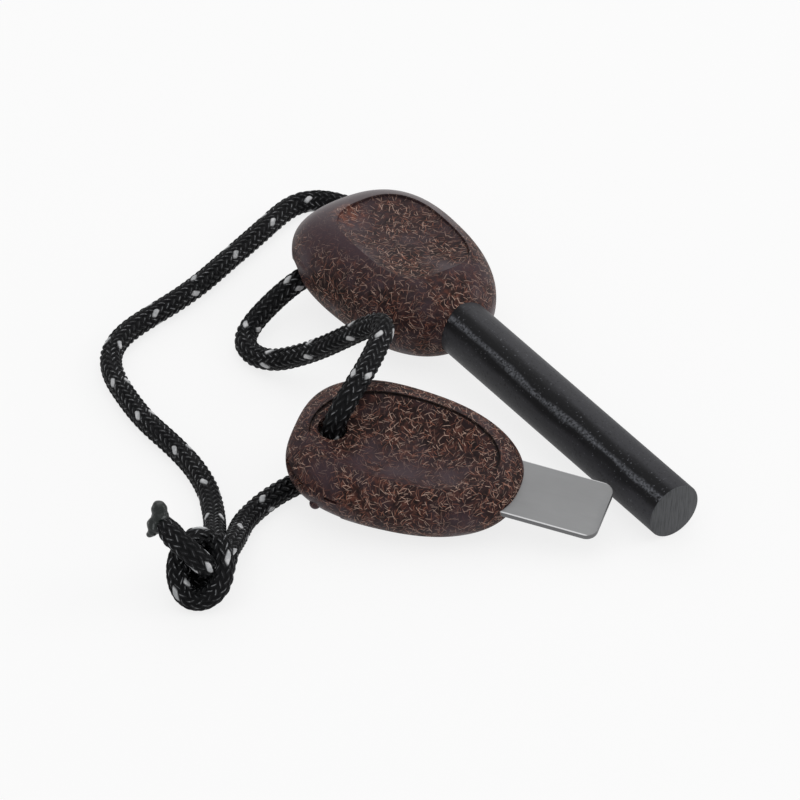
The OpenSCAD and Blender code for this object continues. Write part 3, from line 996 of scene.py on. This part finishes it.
    def melted_end(self, frame_of_knot: Matrix, material: bpy.types.Material) -> bpy.types.Object:
        """Fuse the cord's two cut ends into one lumpy button.

        Args:
            frame_of_knot: From the knot's own frame to the row frame.
            material: The melted yarn.

        Returns:
            The button.
        """
        lobes = []
        for middle, half in self.lobes:
            lobe = fresh(bpy.ops.mesh.primitive_uv_sphere_add, segments=48, ring_count=32, radius=1.0)
            sized = Matrix.Diagonal([h * MM for h in half] + [1.0])
            lobe.data.transform(Matrix.Translation([m * MM for m in middle]) @ sized)
            lobes.append(lobe)
        deselect()
        for lobe in lobes:
            lobe.select_set(True)
        button = lobes[0]
        bpy.context.view_layer.objects.active = button
        bpy.ops.object.join()
        button.name = "melted_end"
        apply_modifier(button, "REMESH", mode="VOXEL", voxel_size=self.voxel * MM)
        apply_modifier(button, "SMOOTH", factor=0.5, iterations=6)
        moved = [v.co + v.normal * self.lump * MM * noise.noise(v.co / (self.lump_size * MM))
                 for v in button.data.vertices]
        for vertex, spot in zip(button.data.vertices, moved):
            vertex.co = spot
        in_metres = frame_of_knot.copy()
        in_metres.translation = frame_of_knot.translation * MM
        place(button, in_metres)
        smooth(button, 180)
        paint(button, material)
        log.info("melted_end: %d faces", len(button.data.polygons))
        return button

    def piece(self, name: str, points: list, phase: float, material: bpy.types.Material, softness: int = 24,
              tapered: bool = False) -> tuple[bpy.types.Object, np.ndarray]:
        """One stretch of braid with its finish.

        Args:
            name: The piece's name.
            points: Its route in millimetres.
            phase: Where its flecks start.
            material: The yarn.
            softness: Passes of smoothing.
            tapered: Whether its far end narrows.

        Returns:
            The object and its middle line.
        """
        line = self.braid.path(points, softness)
        stretch = self.braid.build(name, line, phase, tapered)
        paint(stretch, material)
        log.info("%s: %.1f mm of braid", name, Braid.length(line) / MM)
        return stretch, line


@dataclass
class Pebble:
    """A pebble handle with a thumb dish, in its own frame: X to the nose, Z up. Sizes are in millimetres."""

    length: float = 41.0
    width: float = 28.4
    taper: float = 0.1
    thickness: float = 19.0
    dish_length: float = 25.0
    dish_width: float = 18.0
    dish_floor: float = 6.3
    rim_step: float = 0.45
    step_run: float = 0.12
    bowl_power: float = 2.4
    dish_x: float = 0.0
    dish_y: float = 0.6
    rim_power: float = 0.7
    around: int = 192
    outline_front: float = 2.35
    outline_rear: float = 2.6
    profile_front: float = 2.4
    profile_rear: float = 2.05
    section: float = 2.3
    hole: float = 2.4
    mouth: float = 2.6
    past: float = 4.0
    hole_sides: int = 96
    dish_rings: int = 26
    side_rings: int = 34
    # The rim's rounding, as shares of its step's run and height
    rim_turns: tuple = ((0.7, 0.55), (0.3, 0.88))
    shade_angle: float = 42.0

    @staticmethod
    def signed(value: np.ndarray, power: float) -> np.ndarray:
        """A power that keeps its sign.

        Args:
            value: The base.
            power: The exponent.

        Returns:
            The power of its size, with its sign.
        """
        return np.sign(value) * np.abs(value) ** power

    def outline(self, angle: np.ndarray) -> np.ndarray:
        """The plan outline at each angle.

        Args:
            angle: Angles round the pebble, in radians.

        Returns:
            X and Y of each point.
        """
        power = np.where(np.cos(angle) > 0, self.outline_front, self.outline_rear)
        share = self.signed(np.cos(angle), 2 / power)
        half = self.width / 2 * (1 - self.taper * share) * self.signed(np.sin(angle), 2 / power)
        return np.stack([self.length / 2 * share, half], axis=-1)

    def rim(self, angle: np.ndarray, inset: float = 0.0) -> np.ndarray:
        """The dish's rim at each angle.

        Args:
            angle: Angles round the dish, in radians.
            inset: How far inside the rim the line runs.

        Returns:
            X and Y of each point.
        """
        across = (self.dish_width / 2 - inset) * self.signed(np.sin(angle), self.rim_power)
        along = (self.dish_length / 2 - inset) * self.signed(np.cos(angle), self.rim_power)
        return np.stack([self.dish_x + along, self.dish_y + across], axis=-1)

    def skin(self, points: np.ndarray) -> np.ndarray:
        """Height of the skin above the middle plane.

        Args:
            points: X and Y of each point.

        Returns:
            The height of each.
        """
        share = np.clip(points[..., 0] / (self.length / 2), -1, 1)
        outline = np.where(share > 0, self.outline_front, self.outline_rear)
        profile = np.where(share > 0, self.profile_front, self.profile_rear)
        half_w = self.width / 2 * (1 - np.abs(share) ** outline) ** (1 / outline) * (1 - self.taper * share)
        half_t = self.thickness / 2 * (1 - np.abs(share) ** profile) ** (1 / profile)
        off = np.minimum(1, np.abs(points[..., 1]) / np.maximum(half_w, 1e-6))
        return half_t * np.clip(1 - off**self.section, 0, 1) ** (1 / self.section)

    def flank(self, x: float, z: float) -> float:
        """How far the flank is from the middle plane.

        Args:
            x: A place along the pebble's rear half.
            z: A height above or under its middle plane.

        Returns:
            The distance in millimetres.
        """
        share = abs(x) / (self.length / 2)
        half_w = self.width / 2 * (1 - share**self.outline_rear) ** (1 / self.outline_rear)
        half_w *= 1 + self.taper * share
        half_t = self.thickness / 2 * (1 - share**self.profile_rear) ** (1 / self.profile_rear)
        return half_w * (1 - (z / half_t) ** self.section) ** (1 / self.section)

    def rings(self) -> list[tuple[np.ndarray, np.ndarray]]:
        """Rings from the middle of the dish over the rim and the waist to the belly's pole.

        Returns:
            X and Y, and height, of each ring.
        """
        angle = np.arange(self.around) * 2 * math.pi / self.around
        rim, outer = self.rim(angle), self.outline(angle)
        rim_z = self.skin(rim)
        foot_z = rim_z - self.rim_step
        middle = np.array([self.dish_x, self.dish_y])
        rings = []
        for share in np.linspace(0.04, 1, self.dish_rings):
            xy = (1 - share) * middle + share * self.rim(angle, self.step_run)
            rings.append((xy, self.dish_floor + (foot_z - self.dish_floor) * share**self.bowl_power))
        for inward, rise in self.rim_turns:
            rings.append((self.rim(angle, self.step_run * inward), foot_z + self.rim_step * rise))
        for turn in np.linspace(math.pi / 2, 0, self.side_rings)[:-1]:
            share = 1 - math.cos(turn)
            xy = (1 - share) * outer + share * rim
            rings.append((xy, self.skin(xy)))
        for turn in np.linspace(math.pi / 2, 0.03, self.side_rings):
            xy = math.sin(turn) * outer
            rings.append((xy, -self.skin(xy)))
        return rings

    def dish(self) -> Dish:
        """The dish as the composite reads it.

        Returns:
            The dish's numbers.
        """
        return Dish(self.dish_length, self.dish_width, self.dish_x, self.dish_y, self.rim_power)

    def build(self, name: str) -> bpy.types.Object:
        """Shape a ball into the pebble, ring by ring.

        Args:
            name: The piece's name.

        Returns:
            The handle, at the origin of its own frame.
        """
        rings = self.rings()
        count = len(rings) + 1
        ball = fresh(bpy.ops.mesh.primitive_uv_sphere_add, name, segments=self.around, ring_count=count,
                     radius=1.0)
        for vertex in ball.data.vertices:
            x, y, z = vertex.co
            row = round(math.acos(max(-1.0, min(1.0, z))) / math.pi * count)
            if row == 0:
                vertex.co = (self.dish_x * MM, self.dish_y * MM, self.dish_floor * MM)
            elif row == count:
                vertex.co = (0.0, 0.0, -self.thickness / 2 * MM)
            else:
                spot = round(math.atan2(y, x) / (2 * math.pi) * self.around) % self.around
                xy, height = rings[row - 1]
                vertex.co = (xy[spot, 0] * MM, xy[spot, 1] * MM, height[spot] * MM)
        return ball

    def drill(self, handle: bpy.types.Object, at: tuple, axis: Axis, skins: tuple[float, float],
              mouths: tuple[float, float]) -> None:
        """Cut a round cord hole whose two mouths are flared.

        Args:
            handle: The pebble to cut.
            at: A point on the hole's axis, in millimetres.
            axis: The axis that the hole runs along.
            skins: Where the lower and the upper skin are along the hole, from that point.
            mouths: The radius of the mouths at those skins.
        """
        low, high = skins
        turn = Matrix.Translation([v * MM for v in at]) @ Euler(axis.value).to_matrix().to_4x4()
        middle = (low + high) / 2
        tools = [(self.hole, self.hole, middle, high - low + 8)]
        for end, far, wide in ((high, 1, mouths[1]), (low, -1, mouths[0])):
            first, last = (self.hole, wide) if far > 0 else (wide, self.hole)
            tools.append((first, last, end - far * self.mouth / 2, self.mouth))
            tools.append((wide, wide, end + far * (self.past / 2 - 0.01), self.past))
        for first, last, centre, depth in tools:
            tool = fresh(bpy.ops.mesh.primitive_cone_add, vertices=self.hole_sides, radius1=first * MM,
                         radius2=last * MM, depth=depth * MM)
            tool.data.transform(turn @ Matrix.Translation((0, 0, centre * MM)))
            self.cut(handle, tool)

    @staticmethod
    def cut(handle: bpy.types.Object, tool: bpy.types.Object, operation: str = "DIFFERENCE") -> None:
        """Join a tool's shape with the handle's, and delete the tool.

        Args:
            handle: The pebble to shape.
            tool: The other shape.
            operation: Whether the tool is taken out, added, or all that is kept.
        """
        apply_modifier(handle, "BOOLEAN", operation=operation, object=tool, solver="EXACT")
        bpy.data.objects.remove(tool, do_unlink=True)


@dataclass
class RodHalf:
    """The rod in its handle."""

    rod_radius: float = 5.0
    rod_length: float = 80.0
    rod_tang: float = 22.0
    rod_sides: int = 160
    dip: float = 3.39102
    end_x: float = 49.3
    line_y: float = 17.4
    handle_height: float = 9.63452
    free_length: float = 58.0
    handle_half: float = 20.5
    edge: float = 0.22
    hole_back: float = 12.5
    hole_drop: float = 3.5
    side_mouth: float = 3.2

    def frame_of_rod(self) -> Matrix:
        """The handle's place.

        Returns:
            From the handle's own frame to the row frame, in metres.
        """
        reach = self.handle_half + self.free_length
        dip = math.radians(self.dip)
        x = self.end_x - reach * math.cos(dip) - self.rod_radius * math.sin(dip)
        spot = Matrix.Translation((x * MM, self.line_y * MM, self.handle_height * MM))
        return spot @ Matrix.Rotation(dip, 4, "Y")

    def build(self, alloy: GroundAlloy) -> None:
        """Make the handle and the rod.

        Args:
            alloy: The rod's finish.
        """
        pebble = Pebble()
        handle = pebble.build("rod_pebble")
        flank = pebble.flank(-self.hole_back, self.hole_drop)
        pebble.drill(handle, (-self.hole_back, 0, -self.hole_drop), Axis.ACROSS, (-flank, flank),
                     (self.side_mouth, self.side_mouth))
        smooth(handle, pebble.shade_angle)
        place(handle, self.frame_of_rod())
        # This handle's rim crease gets a lighter painted shade
        composite = FibreComposite("rod_composite_skin", pebble.dish(), worn_dish=0.75, worn_butt=0.25,
                                   flank_top=0.009, crease_shade=0.35, tufted=True)
        paint(handle, composite.build(self.frame_of_rod().inverted()))
        dress(handle, ROD_BODY, "rod_handle")
        self.build_rod(alloy)

    def build_rod(self, alloy: GroundAlloy) -> None:
        """Turn the rod: a bar with broken edges at both ends.

        Args:
            alloy: The rod's finish.
        """
        rod = fresh(bpy.ops.mesh.primitive_cylinder_add, "ground_rod", vertices=self.rod_sides,
                    radius=self.rod_radius * MM, depth=self.rod_length * MM)
        apply_modifier(rod, "BEVEL", width=self.edge * MM, segments=3, limit_method="ANGLE", angle_limit=1.0)
        smooth(rod, 40)
        middle = self.handle_half - self.rod_tang + self.rod_length / 2
        lay = Matrix.Translation((middle * MM, 0, 0)) @ Matrix.Rotation(math.pi / 2, 4, "Y")
        into_row = self.frame_of_rod() @ lay
        place(rod, into_row)
        paint(rod, alloy.build(into_row.inverted()))
        dress(rod, ROD_BODY, "ferro_rod")


@dataclass
class StrikerHalf:
    """The scraper in its handle, with the whistle's plug."""

    place_x: float = 15.2
    place_y: float = -13.2
    place_z: float = 8.40541
    yaw: float = 35.6
    pitch: float = 5.3
    roll: float = 15.5
    blade_width: float = 11.5
    blade_thick: float = 1.2
    blade_free: float = 14.8
    blade_tang: float = 16.0
    blade_rise: float = 0.65
    corner: float = 2.0
    edge: float = 0.12
    nose: float = 20.2
    hole_back: float = 13.0
    belly_mouth: float = 3.9
    dish_mouth: float = 2.5
    pocket_front: float = 6.9
    pocket_roof: float = 1.9
    plug_gap: float = 0.1
    plug_inset: float = 0.15
    # The plug's pip: its place behind the middle and below the middle plane, its radius
    pip: tuple = (11.8, 2.0, 1.0)
    # The air passage from the side, in X and in height above the plug's top, and where it lies across
    passage: tuple = ((-24.2, 1.0), (-24.2, -1.5), (-17.6, -1.5), (-12.4, -0.5), (-7.5, -0.5), (-7.5, 1.0))
    passage_sides: tuple = (-11.4, -6.8)
    slot: tuple = (-9.9, -7.5)
    slot_height: float = 0.5

    def frame_of_striker(self) -> Matrix:
        """The striker's place.

        Returns:
            From the striker's own frame to the row frame, in metres.
        """
        spot = Matrix.Translation((self.place_x * MM, self.place_y * MM, self.place_z * MM))
        yaw = Matrix.Rotation(math.radians(self.yaw), 4, "Z")
        pitch = Matrix.Rotation(math.radians(self.pitch), 4, "Y")
        return spot @ yaw @ pitch @ Matrix.Rotation(math.radians(self.roll), 4, "X")

    def build(self, steel: ScraperSteel) -> None:
        """Make the handle, the blade and the plug.

        Args:
            steel: The blade's finish.
        """
        pebble = Pebble(length=40.4, width=27.2, thickness=14.5, dish_length=32.8, dish_floor=2.9, dish_x=-0.3,
                        dish_y=0.0, rim_power=0.9)
        composite = FibreComposite("striker_composite_skin", pebble.dish(), seed=2.0)
        composite = composite.build(self.frame_of_striker().inverted())
        handle = pebble.build("striker_pebble")
        # The pocket comes first: cut after the hole, it can lose its faces
        pebble.cut(handle, self.butt_block(0.0))
        self.drill_hole(pebble, handle)
        smooth(handle, pebble.shade_angle)
        place(handle, self.frame_of_striker())
        paint(handle, composite)
        dress(handle, STRIKER_BODY, "striker_handle")
        self.build_blade(steel.build(self.frame_of_striker().inverted()))
        self.build_plug(pebble, composite)

    def hole_skins(self, pebble: Pebble) -> tuple[float, float]:
        """Where the cord hole leaves the striker's belly and comes up through its dish.

        Args:
            pebble: The striker's handle.

        Returns:
            The two heights, in millimetres.
        """
        share = (self.hole_back + pebble.dish_x) / (pebble.dish_length / 2)
        foot = float(pebble.skin(np.array([pebble.dish_x - pebble.dish_length / 2, 0.0]))) - pebble.rim_step
        high = pebble.dish_floor + (foot - pebble.dish_floor) * share**pebble.bowl_power
        return -float(pebble.skin(np.array([-self.hole_back, 0.0]))), high

    def drill_hole(self, pebble: Pebble, piece: bpy.types.Object) -> None:
        """Cut the striker's cord hole.

        Args:
            pebble: The striker's shape.
            piece: The handle or its plug.
        """
        pebble.drill(piece, (-self.hole_back, 0, 0), Axis.UPRIGHT, self.hole_skins(pebble),
                     (self.belly_mouth, self.dish_mouth))

    def block(self, low: tuple, high: tuple) -> bpy.types.Object:
        """A square tool between two corners.

        Args:
            low: Its lowest corner, in millimetres.
            high: Its highest corner.

        Returns:
            The tool.
        """
        tool = fresh(bpy.ops.mesh.primitive_cube_add, size=1.0)
        middle = Matrix.Translation([(a + b) / 2 * MM for a, b in zip(low, high)])
        tool.data.transform(middle @ Matrix.Diagonal([(b - a) * MM for a, b in zip(low, high)] + [1.0]))
        return tool

    def butt_block(self, gap: float) -> bpy.types.Object:
        """The block that takes in the butt up to the whistle pocket's roof and front, less a gap.

        Args:
            gap: The gap in millimetres.

        Returns:
            The tool.
        """
        return self.block((-30, -30, -20), (-self.pocket_front - gap, 30, self.pocket_roof - gap))

    def build_blade(self, steel: bpy.types.Material) -> None:
        """Cut the blade from flat bar and round its two outer corners.

        Args:
            steel: The blade's finish.
        """
        length = self.blade_free + self.blade_tang
        middle = self.nose + self.blade_free - length / 2
        blade = fresh(bpy.ops.mesh.primitive_cube_add, "scraper_blade", size=1.0,
                      location=(middle * MM, 0, self.blade_rise * MM))
        blade.scale = (length * MM, self.blade_width * MM, self.blade_thick * MM)
        bpy.ops.object.transform_apply(location=True, rotation=False, scale=True)
        end = (self.nose + self.blade_free) * MM
        bpy.ops.object.mode_set(mode="EDIT")
        bpy.ops.mesh.select_mode(type="EDGE")
        bpy.ops.mesh.select_all(action="DESELECT")
        mesh = bmesh.from_edit_mesh(blade.data)
        for edge in mesh.edges:
            tall = abs(edge.verts[0].co.z - edge.verts[1].co.z) > 0.5 * MM
            if tall and all(abs(v.co.x - end) < 0.01 * MM for v in edge.verts):
                edge.select_set(True)
        bmesh.update_edit_mesh(blade.data)
        bpy.ops.mesh.bevel(offset=self.corner * MM, segments=10, affect="EDGES")
        bpy.ops.object.mode_set(mode="OBJECT")
        apply_modifier(blade, "BEVEL", width=self.edge * MM, segments=2, limit_method="ANGLE", angle_limit=0.9)
        smooth(blade, 35)
        place(blade, self.frame_of_striker())
        paint(blade, steel)
        dress(blade, STRIKER_BODY, "striker_blade")

    def build_plug(self, pebble: Pebble, composite: bpy.types.Material) -> None:
        """Shape the whistle's plug: a slimmer butt with its pip, air passage and air slot.

        Args:
            pebble: The striker's shape.
            composite: The plug's finish.
        """
        plug = pebble.build("whistle_plug")
        shrink = 1 - 2 * self.plug_inset / pebble.width
        plug.data.transform(Matrix.Diagonal((shrink, shrink, shrink, 1.0)))
        back, drop, radius = self.pip
        spot = (-back * MM, (radius / 2 - pebble.flank(-back, drop)) * MM, -drop * MM)
        pip = fresh(bpy.ops.mesh.primitive_uv_sphere_add, segments=32, ring_count=16, radius=radius * MM,
                    location=spot)
        pebble.cut(plug, pip, "UNION")
        pebble.cut(plug, self.butt_block(self.plug_gap), "INTERSECT")
        self.drill_hole(pebble, plug)
        pebble.cut(plug, self.passage_tool())
        top = self.pocket_roof - self.plug_gap
        pebble.cut(plug, self.block((self.slot[0], -20, top - self.slot_height),
                                    (self.slot[1], self.passage_sides[1], top + 1)))
        smooth(plug, pebble.shade_angle)
        place(plug, self.frame_of_striker())
        paint(plug, composite)
        dress(plug, STRIKER_BODY, "whistle_insert")

    def passage_tool(self) -> bpy.types.Object:
        """The air passage: its side view, drawn out across the plug.

        Returns:
            The tool.
        """
        tool = fresh(bpy.ops.mesh.primitive_circle_add, vertices=len(self.passage), fill_type="NGON")
        top = self.pocket_roof - self.plug_gap
        for vertex, (x, rise) in zip(tool.data.vertices, self.passage):
            vertex.co = (x * MM, self.passage_sides[0] * MM, (top + rise) * MM)
        bpy.ops.object.mode_set(mode="EDIT")
        bpy.ops.mesh.select_all(action="SELECT")
        width = (self.passage_sides[1] - self.passage_sides[0]) * MM
        bpy.ops.mesh.extrude_region_move(TRANSFORM_OT_translate={"value": (0, width, 0)})
        bpy.ops.mesh.select_all(action="SELECT")
        bpy.ops.mesh.normals_make_consistent(inside=False)
        bpy.ops.object.mode_set(mode="OBJECT")
        return tool


@dataclass
class Studio:
    """A pale sweep, soft lamps and the camera."""

    eye: tuple = (0.7268, -0.5265, 0.6468)
    target: tuple = (-0.00006, -0.00343, 0.008)
    focal: float = 292.35
    sensor: float = 36.0
    near: float = 0.05
    floor_size: float = 8.0
    floor_base: Colour = (0.9, 0.9, 0.9, 1.0)
    white: Colour = (1.0, 1.0, 1.0, 1.0)
    floor_white: float = 0.8
    floor_rough: float = 0.9
    world_strength: float = 0.6
    # Each lamp's name, place, width and power
    lamps: tuple = (("back_softbox", (-0.9, 0.65, 0.8), 1.3, 3.0), ("right_softbox", (0.55, 0.95, 0.5), 0.8, 3.6),
                    ("top_softbox", (0.1, -0.1, 1.4), 1.3, 3.6))

    def aim(self, thing: bpy.types.Object, target: tuple) -> None:
        """Turn a lamp or the camera towards a point.

        Args:
            thing: What to turn.
            target: The point.
        """
        thing.rotation_euler = (Vector(target) - thing.location).to_track_quat("-Z", "Y").to_euler()

    def camera(self) -> None:
        """Set up the photograph's view."""
        data = bpy.data.cameras.new("camera")
        data.lens = self.focal
        data.sensor_width = self.sensor
        data.clip_start = self.near
        eye = bpy.data.objects.new("camera", data)
        bpy.context.collection.objects.link(eye)
        eye.location = self.eye
        self.aim(eye, self.target)
        bpy.context.scene.camera = eye

    def seen(self, nodes: Nodes) -> bpy.types.NodeSocket:
        """Whether a ray comes from the camera, a gloss or a clear body.

        Args:
            nodes: The floor's material.

        Returns:
            The mask's socket.
        """
        rays = nodes.add("LightPath").outputs
        either = nodes.math("MAXIMUM", rays["Is Camera Ray"], rays["Is Glossy Ray"])
        return nodes.math("MAXIMUM", either, rays["Is Transmission Ray"])

    def floor(self) -> None:
        """Lay the pale floor, which keeps the object's shadow."""
        ground = fresh(bpy.ops.mesh.primitive_plane_add, "floor", size=self.floor_size, location=(0, 0, 0))
        nodes = Nodes("floor_white")
        nodes.shader.inputs["Base Color"].default_value = self.floor_base
        nodes.shader.inputs["Roughness"].default_value = self.floor_rough
        nodes.shader.inputs["Specular IOR Level"].default_value = 0.0
        glow = nodes.add("Emission", _0=self.white, _1=1.0)
        share = nodes.times(self.seen(nodes), self.floor_white)
        blend = nodes.add("MixShader", _0=share, _1=nodes.shader.outputs[0], _2=glow.outputs[0])
        nodes.tree.links.new(blend.outputs[0], nodes.tree.nodes["Material Output"].inputs["Surface"])
        paint(ground, nodes.material)

    def lamp(self, name: str, at: tuple, size: float, watts: float) -> None:
        """Hang one soft lamp.

        Args:
            name: The lamp's name.
            at: Its place.
            size: Its width.
            watts: Its power.
        """
        data = bpy.data.lights.new(name, "AREA")
        data.size = size
        data.energy = watts
        lamp = bpy.data.objects.new(name, data)
        bpy.context.collection.objects.link(lamp)
        lamp.location = at
        self.aim(lamp, (0, 0, 0))

    def light(self) -> None:
        """Set the lamps and the pale surroundings."""
        for name, at, size, watts in self.lamps:
            self.lamp(name, at, size, watts)
        world = bpy.data.worlds.new("studio")
        bpy.context.scene.world = world
        world.use_nodes = True
        tree = world.node_tree
        rays = tree.nodes.new("ShaderNodeLightPath")
        plain = tree.nodes["Background"]
        plain.inputs["Color"].default_value = self.white
        plain.inputs["Strength"].default_value = self.world_strength
        white = tree.nodes.new("ShaderNodeBackground")
        white.inputs["Color"].default_value = self.white
        blend = tree.nodes.new("ShaderNodeMixShader")
        tree.links.new(rays.outputs["Is Camera Ray"], blend.inputs[0])
        tree.links.new(plain.outputs[0], blend.inputs[1])
        tree.links.new(white.outputs[0], blend.inputs[2])
        tree.links.new(blend.outputs[0], tree.nodes["World Output"].inputs["Surface"])
        bpy.context.scene.view_settings.view_transform = "Standard"


def write_sizes() -> None:
    """Define a helper that lists a box's corners as numbers; nothing is kept.
    """
    def plain(box: object) -> list:
        """The box as lists of numbers."""
        return [[float(v) for v in corner] for corner in box]


def main() -> None:
    """Build the set in order."""
    logging.basicConfig(level=logging.INFO, format="%(message)s")
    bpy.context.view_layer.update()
    studio = Studio()
    studio.camera()
    Lanyard().build(BraidYarn().build(), MeltedYarn().build())
    RodHalf().build(GroundAlloy())
    StrikerHalf().build(ScraperSteel())
    studio.floor()
    studio.light()
    write_sizes()


if __name__ == "__main__":
    main()
